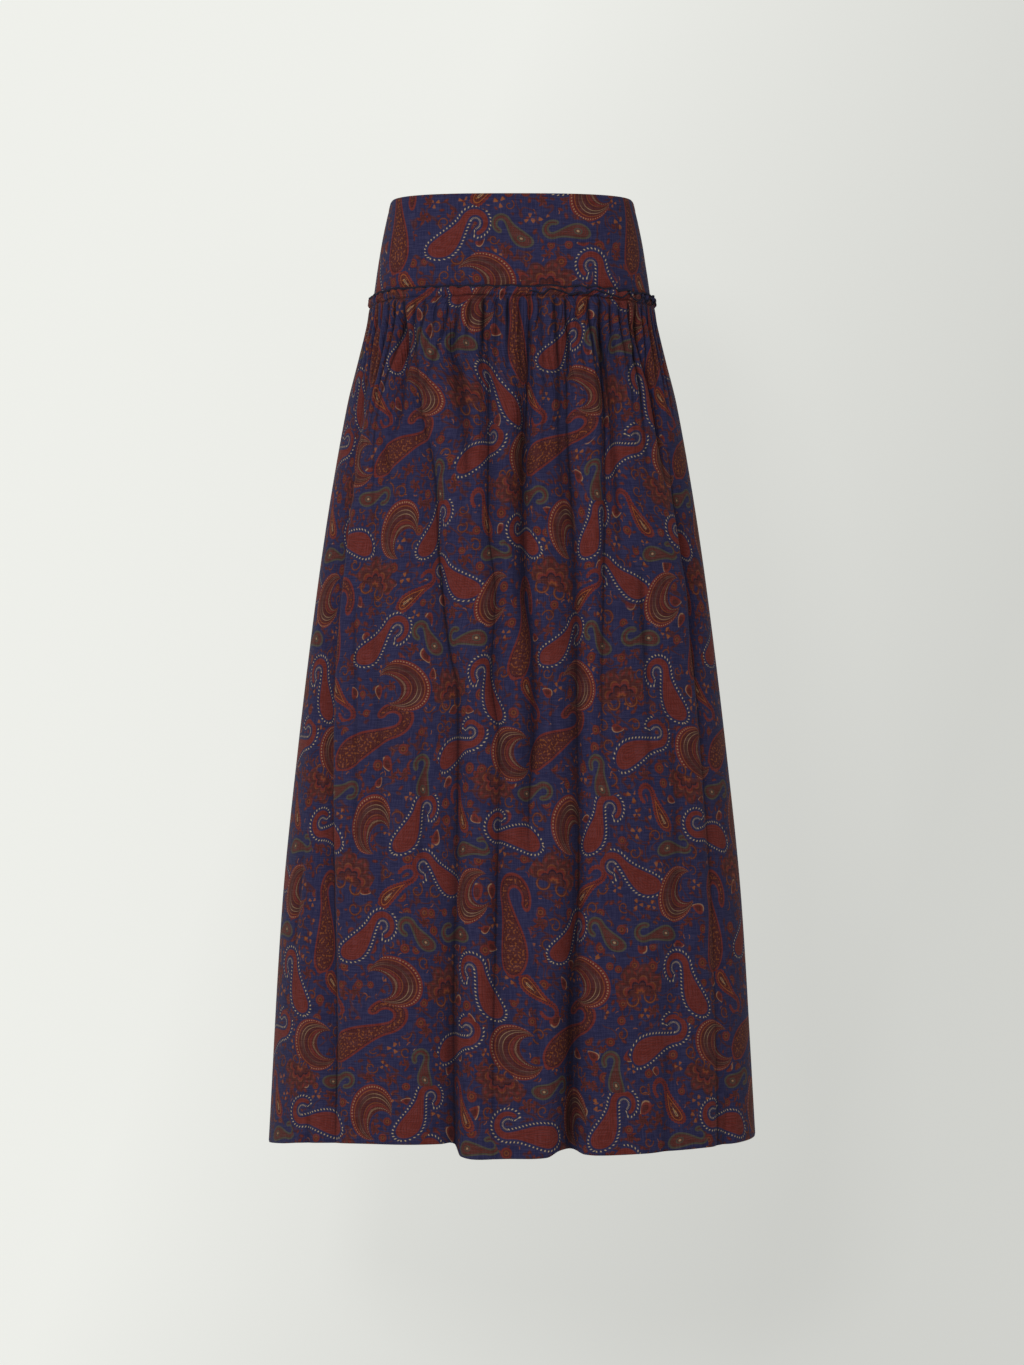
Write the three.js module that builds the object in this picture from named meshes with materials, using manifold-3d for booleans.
// A printed maxi skirt, worn and filled out: a smooth hip yoke that is open at the centre back for a
// concealed zip, and a long full skirt gathered on to it with a small standing heading.
// Millimetres, +Z up. The origin is the middle of the waist opening, level with the top edge.
// The front faces -Y. "Drop" is measured down from the top edge. "Turn" is the angle round the
// skirt, seen from above: 0 at the centre front, 90 at the +X side seam, 180 at the centre back.
import * as THREE from "three";
import Module from "manifold-3d";
import { mergeVertices } from "three/addons/utils/BufferGeometryUtils.js";

const wasm = await Module();
wasm.setup();

// Driving sizes
const LENGTH = 1012;
const YOKE_LENGTH = 111.5;
const HEADING_TOP = 100.5;
const YOKE_WALL = 2;
const SKIRT_WALL = 1.8;
const SEAM_GAP = 0.3;
const GATHERS_FRONT = 40;
const GATHERS_BACK_PANEL = 20;
const ZIP_END = 190;
const ZIP_OPENING = 2;

// The cloth's outer face, level by level
const YOKE_LEVELS = [
  { drop: 0, halfWidth: 130.6, front: 97.5, back: 94, square: 2.9 },
  { drop: 22, halfWidth: 136, front: 101, back: 99, square: 2.85 },
  { drop: 48, halfWidth: 141.3, front: 105.5, back: 105.5, square: 2.8 },
  { drop: 77, halfWidth: 145.9, front: 110, back: 112.1, square: 2.75 },
  { drop: 113, halfWidth: 150.9, front: 115, back: 119.2, square: 2.7 },
];
const SKIRT_LEVELS = [
  { drop: 100.5, halfWidth: 153.4, front: 117.9, back: 121.6, square: 2.7 },
  { drop: 105.5, halfWidth: 154.3, front: 118.9, back: 122.6, square: 2.7 },
  { drop: 110.5, halfWidth: 153.8, front: 118.2, back: 122.2, square: 2.7 },
  { drop: 115.5, halfWidth: 154.6, front: 119.1, back: 123, square: 2.67 },
  { drop: 130, halfWidth: 156.9, front: 120.8, back: 125.1, square: 2.64 },
  { drop: 168, halfWidth: 165.8, front: 124.3, back: 130, square: 2.57 },
  { drop: 218, halfWidth: 177.7, front: 128.6, back: 135.6, square: 2.5 },
  { drop: 325, halfWidth: 196.6, front: 136, back: 145, square: 2.4 },
  { drop: 433, halfWidth: 212.2, front: 142.5, back: 152.5, square: 2.3 },
  { drop: 595, halfWidth: 231.7, front: 151, back: 161, square: 2.22 },
  { drop: 757, halfWidth: 247.9, front: 158, back: 168, square: 2.16 },
  { drop: 1012, halfWidth: 262.6, front: 166, back: 176, square: 2.1 },
];

// The long folds. Each is a valley between ridges: left and right are the widths of its two flanks as
// seen from outside, and its line runs through the points (drop, across) with that depth at each.
const FRONT_FOLDS = [
  {
    name: "left side fold", main: true, left: 34, right: 15,
    drop: [150, 200, 326, 483, 640, 744, 890, 1012],
    across: [-146, -157, -177, -194, -197, -194, -190, -188],
    depth: [0, 4, 9, 13, 12, 11, 10, 4],
  },
  {
    name: "left panel edge", main: true, left: 62, right: 22,
    drop: [130, 230, 294, 389, 483, 525, 702, 848, 1012],
    across: [-106, -98, -84, -78, -67, -59, -60, -64, -63],
    depth: [5, 6, 10, 10, 10, 13, 14, 20, 23],
  },
  {
    name: "left of centre", main: true, left: 15, right: 17,
    drop: [130, 230, 357, 420, 515, 577, 765, 900, 1012],
    across: [-26, -25, -25, -18, -22, -14, -17, -20, -20],
    depth: [4, 9, 8, 8, 10, 7, 9, 5, 2],
  },
  {
    name: "centre", main: true, left: 17, right: 16,
    drop: [130, 230, 294, 420, 483, 577, 640, 730, 1012],
    across: [18, 15, 12, 14, 22, 23, 18, 17, 17],
    depth: [6, 12, 16, 15, 12, 13, 7, 0, 0],
  },
  {
    name: "right of centre", main: true, left: 30, right: 21,
    drop: [120, 230, 326, 430, 535, 733, 795, 860, 1012],
    across: [62, 58, 64, 69, 70, 72, 69, 68, 66],
    depth: [7, 7, 12, 13, 14, 15, 19, 26, 29],
  },
  {
    name: "right panel", main: true, left: 13, right: 18,
    drop: [120, 198, 230, 326, 452, 546, 640, 1012],
    across: [94, 99, 101, 100, 97, 95, 97, 104],
    depth: [7, 13, 12, 8, 6, 4, 0, 0],
  },
  {
    name: "right side fold", main: true, left: 15, right: 30,
    drop: [250, 326, 389, 420, 470, 515, 700, 900, 1012],
    across: [166, 178, 188, 193, 196, 199, 212, 219, 222],
    depth: [0, 8, 13, 13, 10, 6, 5, 4, 6],
  },
  {
    name: "upper right side", left: 14, right: 18,
    drop: [120, 150, 198, 230, 262, 294, 350],
    across: [129, 135, 150, 156, 161, 165, 172],
    depth: [4, 5, 11, 12, 10, 6, 0],
  },
  {
    name: "beside the right panel", left: 9, right: 16,
    drop: [150, 200, 294, 357, 420],
    across: [107, 109, 112, 114, 116],
    depth: [0, 6, 7, 5, 0],
  },
  {
    name: "upper left", left: 14, right: 15,
    drop: [120, 167, 230, 262, 320],
    across: [-118, -116, -121, -129, -135],
    depth: [4, 8, 6, 4, 0],
  },
  {
    name: "between left and centre", left: 14, right: 18,
    drop: [120, 167, 230, 294, 340],
    across: [-63, -63, -52, -48, -46],
    depth: [6, 9, 7, 4, 0],
  },
  {
    name: "soft left", left: 26, right: 26,
    drop: [260, 357, 483, 620, 733, 800],
    across: [-140, -146, -146, -139, -138, -138],
    depth: [0, 5, 4, 4, 3, 0],
  },
  {
    name: "soft right", left: 26, right: 30,
    drop: [350, 452, 577, 700, 890, 1012],
    across: [139, 141, 170, 176, 165, 163],
    depth: [0, 3, 4, 5, 4, 6],
  },
];
const BACK_FOLDS = [
  {
    name: "back right side fold", main: true, left: 30, right: 15,
    drop: [150, 230, 350, 520, 700, 1012],
    across: [143, 155, 174, 190, 200, 208],
    depth: [0, 8, 12, 11, 10, 8],
  },
  {
    name: "back right", main: true, left: 20, right: 24,
    drop: [130, 230, 400, 560, 760, 1012],
    across: [99, 102, 112, 118, 124, 128],
    depth: [6, 11, 14, 15, 18, 22],
  },
  {
    name: "back right of centre", main: true, left: 18, right: 16,
    drop: [230, 330, 480, 640, 820, 1012],
    across: [43, 46, 50, 52, 57, 60],
    depth: [4, 10, 14, 13, 9, 6],
  },
  {
    name: "back left of centre", main: true, left: 17, right: 20,
    drop: [230, 320, 450, 620, 800, 1012],
    across: [-38, -40, -45, -44, -48, -52],
    depth: [5, 12, 13, 15, 20, 24],
  },
  {
    name: "back left", main: true, left: 20, right: 20,
    drop: [130, 210, 380, 580, 790, 1012],
    across: [-92, -96, -110, -121, -124, -123],
    depth: [7, 12, 11, 14, 11, 10],
  },
  {
    name: "back left side fold", main: true, left: 15, right: 32,
    drop: [140, 240, 400, 600, 820, 1012],
    across: [-137, -152, -176, -196, -204, -210],
    depth: [0, 10, 13, 12, 10, 12],
  },
];

// How the hem rises above its level, round the skirt
const HEM_LIFT = {
  turn: [-90, -68, -56, -37, -17, -13.9, -12.2, 0, 8, 11, 15, 17, 32, 45, 59, 71, 90, 135, 180, 225, 270],
  lift: [-1, 4, 8, 11.5, 12, 12, 0, -1, 0, 6, 6, 2, 2, 4, 5, 6, 7, 3, 0, 3, -1],
};
const HEM_LIFT_FROM = 860;
// How much lower the heading and its seam hang at the sides than a level ring, by turn
const SIDE_SAG = {
  turn: [-90, -72, -57, -45, 30, 45, 58, 75, 90, 150, 210, 270],
  sag: [4.4, 4.2, 1.8, 0, 0, 2.2, 3.6, 4, 4, 0, 0, 4.4],
};
const SAG_ENDS = [116, 240];

// Depth of a gather's trough down the heading and the first stretch of cloth, as a share of its own
const GATHER_SHAPE = {
  drop: [100.5, 105.5, 110.5, 115.5, 130, 152],
  share: [0.36, 0.38, 0.12, 0.42, 0.85, 1],
};
const GATHER_DEPTH = [2.6, 5];
const GATHER_FADE = [70, 270];
const GATHERS_EVEN_TO = 122;
const GATHERS_FOLLOW_FROM = 290;
const CALM_BESIDE_ZIP = 17;

// Rows of the skirt's walls, with two columns for each gather
const SKIRT_ROWS = [
  HEADING_TOP, 105.5, 110.5, 115.5, 126, 143, 170, 210, 255, 310, 370, 435,
  505, 575, 650, 725, 800, 870, 930, 980, LENGTH,
];
const YOKE_ROWS = [0, 25, 50, 77, YOKE_LENGTH];
const YOKE_COLUMNS_FRONT = 28;
const FLANK_MARK = 0.7;
const FOLDS_FROM = [113, 155];
const ROUND_BOTTOM = 0.12;

const DEGREE = Math.PI / 180;
const clamp = THREE.MathUtils.clamp;
const lerp = THREE.MathUtils.lerp;

// A smooth curve through the points (places[i], values[i]), level beyond its ends
function readCurve(places, values, at) {
  const last = places.length - 1;
  if (at <= places[0]) return values[0];
  if (at >= places[last]) return values[last];
  let i = 0;
  while (at > places[i + 1]) i++;
  const slope = (a, b) => (values[b] - values[a]) / (places[b] - places[a]);
  const leaving = slope(Math.max(i - 1, 0), i + 1);
  const arriving = slope(i, Math.min(i + 2, last));
  const span = places[i + 1] - places[i];
  const t = (at - places[i]) / span;
  const bend = t * (1 - t) * span;
  const step = t * t * (3 - 2 * t);
  return lerp(values[i], values[i + 1], step) + bend * (leaving * (1 - t) - arriving * t);
}

function readLevels(levels, column, drop) {
  return readCurve(
    levels.map((row) => row.drop),
    levels.map((row) => row[column]),
    drop,
  );
}

// A repeatable uneven number from 0 to 1
function uneven(index, salt) {
  const wave = Math.sin(index * 12.9898 + salt * 78.233) * 43758.5453;
  return wave - Math.floor(wave);
}

// The level curve of a yoke or skirt: its point at a turn, the way out, and millimetres per radian
function ringAt(levels, turn, drop) {
  const halfWidth = readLevels(levels, "halfWidth", drop);
  const front = readLevels(levels, "front", drop);
  const back = readLevels(levels, "back", drop);
  const square = readLevels(levels, "square", drop);
  const point = (angle) => {
    const sine = Math.sin(angle);
    const cosine = Math.cos(angle);
    const reach = (Math.abs(sine) ** square + Math.abs(cosine) ** square) ** (-1 / square);
    return [halfWidth * reach * sine, -(cosine > 0 ? front : back) * reach * cosine];
  };
  const step = 0.002;
  const [x, y] = point(turn);
  const [ahead, behind] = [point(turn + step), point(turn - step)];
  const along = [ahead[0] - behind[0], ahead[1] - behind[1]];
  const length = Math.hypot(along[0], along[1]);
  return { x, y, out: [along[1] / length, -along[0] / length], scale: length / (2 * step) };
}

// The turn at which a ring's point lies the given distance across
function turnAcross(across, drop, onBack) {
  const square = readLevels(SKIRT_LEVELS, "square", drop);
  const share = clamp(across / readLevels(SKIRT_LEVELS, "halfWidth", drop), -0.99, 0.99);
  const turn = Math.atan2(share, (1 - Math.abs(share) ** square) ** (1 / square));
  return onBack ? Math.PI - turn : turn;
}

function layFold(fold, onBack) {
  const turns = fold.drop.map((drop, i) => turnAcross(fold.across[i], drop, onBack));
  return { ...fold, turns };
}

const frontFolds = FRONT_FOLDS.map((fold) => layFold(fold, false));
const backFolds = BACK_FOLDS.map((fold) => layFold(fold, true));
const allFolds = [...frontFolds, ...backFolds];

// How far the long folds press the cloth in: none do on the heading
function foldDepth(turn, drop, scale) {
  let depth = 0;
  for (const fold of allFolds) {
    const away = (turn - readCurve(fold.drop, fold.turns, drop)) * scale;
    const flank = away < 0 ? fold.left : fold.right;
    const share = Math.hypot(away / flank, ROUND_BOTTOM) - ROUND_BOTTOM;
    if (share >= 1) continue;
    depth += Math.max(readCurve(fold.drop, fold.depth, drop), 0) * (1 - share) ** 2;
  }
  return depth * THREE.MathUtils.smoothstep(drop, ...FOLDS_FROM);
}

// Panels of the skirt, each from one seam to the next
const PANELS = [
  {
    name: "skirt_front", from: -90 * DEGREE, to: 90 * DEGREE, salt: 1,
    gathers: GATHERS_FRONT, folds: frontFolds.filter((fold) => fold.main),
  },
  {
    name: "skirt_back_right", from: 90 * DEGREE, to: 180 * DEGREE, salt: 2,
    gathers: GATHERS_BACK_PANEL, folds: backFolds.slice(0, 3),
  },
  {
    name: "skirt_back_left", from: 180 * DEGREE, to: 270 * DEGREE, salt: 3,
    gathers: GATHERS_BACK_PANEL, folds: backFolds.slice(3),
  },
];

// Turns of the panel's seams and of its main folds' lines and flanks
function foldMarks(panel, drop) {
  const marks = [panel.from];
  for (const fold of panel.folds) {
    const line = readCurve(fold.drop, fold.turns, drop);
    const scale = ringAt(SKIRT_LEVELS, line, drop).scale;
    marks.push(line - (FLANK_MARK * fold.left) / scale, line, line + (FLANK_MARK * fold.right) / scale);
  }
  return [...marks, panel.to];
}

// Shares the panel's gathers out between its marks, most to the widest stretches
function shareGathers(panel) {
  const marks = foldMarks(panel, LENGTH / 2);
  const widths = marks.slice(1).map((mark, i) => mark - marks[i]);
  const counts = widths.map(() => 1);
  for (let placed = counts.length; placed < panel.gathers; placed++) {
    const loads = widths.map((width, i) => width / counts[i]);
    counts[loads.indexOf(Math.max(...loads))]++;
  }
  return counts;
}

// Turns of the ridges between the gathers: evenly spread at the seam, drawn to the folds lower down
function ridgeTurns(panel, drop) {
  const marks = foldMarks(panel, drop);
  const followed = [];
  shareGathers(panel).forEach((count, i) => {
    for (let k = 0; k < count; k++) followed.push(lerp(marks[i], marks[i + 1], k / count));
  });
  followed.push(panel.to);
  const follow = THREE.MathUtils.smoothstep(drop, GATHERS_EVEN_TO, GATHERS_FOLLOW_FROM);
  return followed.map((turn, k) => {
    const inside = k > 0 && k < panel.gathers;
    const shift = inside ? (uneven(k, panel.salt) - 0.5) * 0.4 : 0;
    const even = lerp(panel.from, panel.to, (k + shift) / panel.gathers);
    return lerp(even, turn, follow);
  });
}

// Depth of one gather's trough at a drop
function gatherDepth(panel, index, turn, drop) {
  const own = lerp(...GATHER_DEPTH, uneven(index, panel.salt + 10));
  const sides = 0.55 + 0.45 * Math.abs(Math.sin(turn));
  const fade = lerp(...GATHER_FADE, uneven(index, panel.salt + 20) ** 2);
  const left = 1 - THREE.MathUtils.smoothstep(drop, GATHERS_EVEN_TO, GATHERS_EVEN_TO + fade);
  const fromZip = Math.abs(turn - Math.PI) * readLevels(SKIRT_LEVELS, "halfWidth", drop);
  const calm = drop < ZIP_END + 20 && fromZip < CALM_BESIDE_ZIP ? 0 : 1;
  return own * sides * left * calm * readCurve(GATHER_SHAPE.drop, GATHER_SHAPE.share, drop);
}

function hemLift(turn, drop) {
  const lift = readCurve(HEM_LIFT.turn, HEM_LIFT.lift, turn / DEGREE);
  return lift * THREE.MathUtils.smoothstep(drop, HEM_LIFT_FROM, LENGTH);
}

function sideSag(turn, drop) {
  const sag = readCurve(SIDE_SAG.turn, SIDE_SAG.sag, turn / DEGREE);
  return sag * (1 - THREE.MathUtils.smoothstep(drop, ...SAG_ENDS));
}

// A point of the skirt's cloth, pressed in by the folds and by its gather, with the wall behind it
function skirtPair(turn, drop, trough) {
  const ring = ringAt(SKIRT_LEVELS, turn, drop);
  const fromZip = Math.abs(turn - Math.PI) * ring.scale;
  const open = 1 - THREE.MathUtils.smoothstep(drop, ZIP_END - 60, ZIP_END + 90);
  const calm = 1 - open * (1 - THREE.MathUtils.smoothstep(fromZip, CALM_BESIDE_ZIP, 2.5 * CALM_BESIDE_ZIP));
  const pressed = foldDepth(turn, drop, ring.scale) * calm + trough;
  const z = hemLift(turn, drop) - sideSag(turn, drop) - drop;
  return [0, SKIRT_WALL].map((inward) => [
    ring.x - (pressed + inward) * ring.out[0],
    ring.y - (pressed + inward) * ring.out[1],
    z,
  ]);
}

// Half the gap left at a panel's edge: wider where the zip goes in
function edgeGap(turn, drop) {
  const atZip = Math.abs(turn - Math.PI) < 1e-6 && drop <= ZIP_END;
  return (atZip ? ZIP_OPENING : SEAM_GAP) / 2;
}

// Moves a panel's two edge columns in from the seams
function trimEdges(turns, levels, drop) {
  const trimmed = [...turns];
  const last = trimmed.length - 1;
  trimmed[0] += edgeGap(turns[0], drop) / ringAt(levels, turns[0], drop).scale;
  trimmed[last] -= edgeGap(turns[last], drop) / ringAt(levels, turns[last], drop).scale;
  return trimmed;
}

// Closes a wall of cloth: rows of [outer, inner] points from the top down, each from seam to seam
function clothWall(rows) {
  const vertices = [];
  const faces = [];
  const numbered = rows.map((row) =>
    row.map((pair) => pair.map((point) => vertices.push(...point) / 3 - 1)),
  );
  const quad = (a, b, c, d) => faces.push(a, b, c, a, c, d);
  for (let j = 0; j + 1 < numbered.length; j++) {
    const [upper, lower] = [numbered[j], numbered[j + 1]];
    for (let i = 0; i + 1 < upper.length; i++) {
      quad(upper[i][0], lower[i][0], lower[i + 1][0], upper[i + 1][0]);
      quad(upper[i][1], upper[i + 1][1], lower[i + 1][1], lower[i][1]);
    }
  }
  const top = numbered[0];
  const bottom = numbered[numbered.length - 1];
  for (let i = 0; i + 1 < top.length; i++) quad(top[i][0], top[i + 1][0], top[i + 1][1], top[i][1]);
  for (let i = 0; i + 1 < bottom.length; i++) {
    quad(bottom[i][0], bottom[i][1], bottom[i + 1][1], bottom[i + 1][0]);
  }
  for (let j = 0; j + 1 < numbered.length; j++) {
    const [a, b] = [numbered[j], numbered[j + 1]];
    quad(a[0][0], a[0][1], b[0][1], b[0][0]);
    quad(a[a.length - 1][0], b[b.length - 1][0], b[b.length - 1][1], a[a.length - 1][1]);
  }
  const geometry = new THREE.BufferGeometry();
  geometry.setAttribute("position", new THREE.Float32BufferAttribute(vertices, 3));
  geometry.setIndex(faces);
  geometry.computeVertexNormals();
  return geometry;
}

function skirtPanel(panel) {
  const rows = SKIRT_ROWS.map((drop) => {
    const ridges = ridgeTurns(panel, drop);
    const trimmed = trimEdges(ridges, SKIRT_LEVELS, drop);
    const row = [skirtPair(trimmed[0], drop, 0)];
    for (let k = 0; k < panel.gathers; k++) {
      const middle = (trimmed[k] + trimmed[k + 1]) / 2;
      row.push(skirtPair(middle, drop, gatherDepth(panel, k, middle, drop)));
      row.push(skirtPair(trimmed[k + 1], drop, 0));
    }
    return row;
  });
  return clothWall(rows);
}

function yokePanel(from, to, columns) {
  const rows = YOKE_ROWS.map((drop) => {
    const even = Array.from({ length: columns + 1 }, (_, k) => lerp(from, to, k / columns));
    return trimEdges(even, YOKE_LEVELS, drop).map((turn) => {
      const ring = ringAt(YOKE_LEVELS, turn, drop);
      return [0, YOKE_WALL].map((inward) => [
        ring.x - inward * ring.out[0],
        ring.y - inward * ring.out[1],
        -drop,
      ]);
    });
  });
  return clothWall(rows);
}

// Zip sizes
const TAPE_WIDTH = 12;
const TAPE_THICKNESS = 1;
const COIL_WIDTH = 2.2;
const COIL_THICKNESS = 2.4;
const SLIDER = { top: 4, bottom: 13, halfWidth: 4, thickness: 3.2 };
const EYE = { drop: 7, standOff: 1.3, hole: 1, radius: 2.2, thickness: 1.2 };
const PULL = { width: 5.2, length: 24, thickness: 0.9, window: 1.4, windowEnd: 5.2, barHalf: 0.45 };

// The face that the zip lies against: inside the yoke, then inside the skirt
function zipFace(drop) {
  const onYoke = drop <= YOKE_LENGTH + 2;
  const back = onYoke
    ? readLevels(YOKE_LEVELS, "back", Math.min(drop, YOKE_LENGTH)) - YOKE_WALL
    : readLevels(SKIRT_LEVELS, "back", drop) - SKIRT_WALL;
  return back - SEAM_GAP;
}

// One side of the zip: a tape with half of the coil along its inner edge, clear of the slider
function zipTape(side) {
  const belowSlider = [50, 78, 98, YOKE_LENGTH + 1.5, 124, 150, ZIP_END];
  const stations = [3, SLIDER.bottom + 0.3, SLIDER.bottom + 0.8, ...belowSlider];
  const rows = stations.map((drop) => {
    const beside = drop <= SLIDER.bottom + 0.3;
    const inner = beside ? SLIDER.halfWidth + SEAM_GAP : SEAM_GAP / 2;
    const face = zipFace(drop);
    const section = [
      [inner, 0],
      [TAPE_WIDTH, 0],
      [TAPE_WIDTH, TAPE_THICKNESS],
      [inner + COIL_WIDTH, TAPE_THICKNESS],
      [inner + COIL_WIDTH, beside ? TAPE_THICKNESS + 0.1 : COIL_THICKNESS],
      [inner, beside ? TAPE_THICKNESS + 0.1 : COIL_THICKNESS],
    ];
    return section.map(([x, inward]) => [side * x, face - inward, -drop]);
  });
  const vertices = rows.flat(2);
  const count = rows[0].length;
  const faces = [];
  const put = (a, b, c) => faces.push(...(side > 0 ? [a, b, c] : [a, c, b]));
  for (let j = 0; j + 1 < rows.length; j++) {
    for (let i = 0; i < count; i++) {
      const next = (i + 1) % count;
      const [a, b, c, d] = [j * count + i, j * count + next, (j + 1) * count + next, (j + 1) * count + i];
      put(a, b, c);
      put(a, c, d);
    }
  }
  const cap = THREE.ShapeUtils.triangulateShape(
    rows[rows.length - 1].map(([x, y]) => new THREE.Vector2(side * x, y)),
    [],
  );
  const foot = (rows.length - 1) * count;
  for (const [a, b, c] of cap) {
    put(a, b, c);
    put(foot + a, foot + c, foot + b);
  }
  const geometry = new THREE.BufferGeometry();
  geometry.setAttribute("position", new THREE.Float32BufferAttribute(vertices, 3));
  geometry.setIndex(faces);
  geometry.computeVertexNormals();
  return geometry;
}

// The middle of the eye that the pull swings in
const eyeY = readLevels(YOKE_LEVELS, "back", EYE.drop) + EYE.standOff;
const eyeZ = -EYE.drop;

function solidOf(geometry) {
  const bare = geometry.clone();
  bare.deleteAttribute("normal");
  bare.deleteAttribute("uv");
  const merged = mergeVertices(bare, 1e-4);
  return new wasm.Manifold(
    new wasm.Mesh({
      numProp: 3,
      vertProperties: merged.attributes.position.array,
      triVerts: new Uint32Array(merged.index.array),
    }),
  );
}

function geometryOf(solid) {
  const mesh = solid.getMesh();
  const geometry = new THREE.BufferGeometry();
  geometry.setAttribute("position", new THREE.BufferAttribute(mesh.vertProperties, 3));
  geometry.setIndex(new THREE.BufferAttribute(mesh.triVerts, 1));
  geometry.computeVertexNormals();
  return geometry;
}

// The slider: a body inside the cloth, and an eye that comes out between the cloth's edges
function zipSlider() {
  const face = zipFace(SLIDER.top);
  const body = new THREE.BoxGeometry(2 * SLIDER.halfWidth, SLIDER.thickness, SLIDER.bottom - SLIDER.top);
  body.translate(0, face - SLIDER.thickness / 2, -(SLIDER.top + SLIDER.bottom) / 2);
  const outline = new THREE.Shape();
  const root = face - 1 - eyeY;
  outline.moveTo(root, -EYE.radius);
  outline.lineTo(0, -EYE.radius);
  outline.absarc(0, 0, EYE.radius, -Math.PI / 2, Math.PI / 2, false);
  outline.lineTo(root, EYE.radius);
  const hole = new THREE.Path();
  hole.absarc(0, 0, EYE.hole, 0, 2 * Math.PI, true);
  outline.holes.push(hole);
  const eye = new THREE.ExtrudeGeometry(outline, {
    depth: EYE.thickness,
    bevelEnabled: false,
    curveSegments: 10,
  });
  eye.translate(0, 0, -EYE.thickness / 2);
  eye.applyMatrix4(new THREE.Matrix4().makeBasis(
    new THREE.Vector3(0, 1, 0),
    new THREE.Vector3(0, 0, 1),
    new THREE.Vector3(1, 0, 0),
  ));
  eye.translate(0, eyeY, eyeZ);
  return geometryOf(solidOf(body).add(solidOf(eye)));
}

// The pull: a flat tab, its window round the eye, that hangs along the sloping cloth
function zipPull() {
  const half = PULL.width / 2;
  const outline = new THREE.Shape();
  outline.moveTo(-half, PULL.barHalf);
  outline.lineTo(-half, half - PULL.length);
  outline.absarc(0, half - PULL.length, half, Math.PI, 2 * Math.PI, false);
  outline.lineTo(half, PULL.barHalf);
  outline.closePath();
  const window = new THREE.Path();
  window.moveTo(-PULL.window, -PULL.barHalf);
  window.lineTo(PULL.window, -PULL.barHalf);
  window.lineTo(PULL.window, -PULL.windowEnd);
  window.lineTo(-PULL.window, -PULL.windowEnd);
  window.closePath();
  outline.holes.push(window);
  const tab = new THREE.ExtrudeGeometry(outline, {
    depth: PULL.thickness,
    bevelEnabled: false,
    curveSegments: 10,
  });
  tab.translate(0, 0, -PULL.thickness / 2);
  tab.rotateX(Math.PI / 2);
  const low = EYE.drop + PULL.length;
  const spread = readLevels(YOKE_LEVELS, "back", low) - readLevels(YOKE_LEVELS, "back", EYE.drop);
  tab.rotateX(Math.atan2(spread, PULL.length));
  tab.translate(0, eyeY, eyeZ);
  return geometryOf(solidOf(tab));
}

// Finishes
const cloth = new THREE.MeshStandardMaterial({ color: 0x3a2838, roughness: 0.75, metalness: 0 });
const yokeCloth = new THREE.MeshStandardMaterial({ color: 0x3b2c42, roughness: 0.75, metalness: 0 });
const tape = new THREE.MeshStandardMaterial({ color: 0x23233c, roughness: 0.8, metalness: 0 });
const enamel = new THREE.MeshStandardMaterial({ color: 0x26263f, roughness: 0.35, metalness: 0.6 });

const skirt = new THREE.Group();

function put(name, geometry, material) {
  const mesh = new THREE.Mesh(geometry, material.clone());
  mesh.name = name;
  skirt.add(mesh);
}

put("yoke_front", yokePanel(-90 * DEGREE, 90 * DEGREE, YOKE_COLUMNS_FRONT), yokeCloth);
put("yoke_back_right", yokePanel(90 * DEGREE, 180 * DEGREE, YOKE_COLUMNS_FRONT / 2), yokeCloth);
put("yoke_back_left", yokePanel(180 * DEGREE, 270 * DEGREE, YOKE_COLUMNS_FRONT / 2), yokeCloth);
for (const panel of PANELS) put(panel.name, skirtPanel(panel), cloth);
put("zip_tape_right", zipTape(1), tape);
put("zip_tape_left", zipTape(-1), tape);
put("zip_slider", zipSlider(), enamel);
put("zip_pull", zipPull(), enamel);

export default skirt;
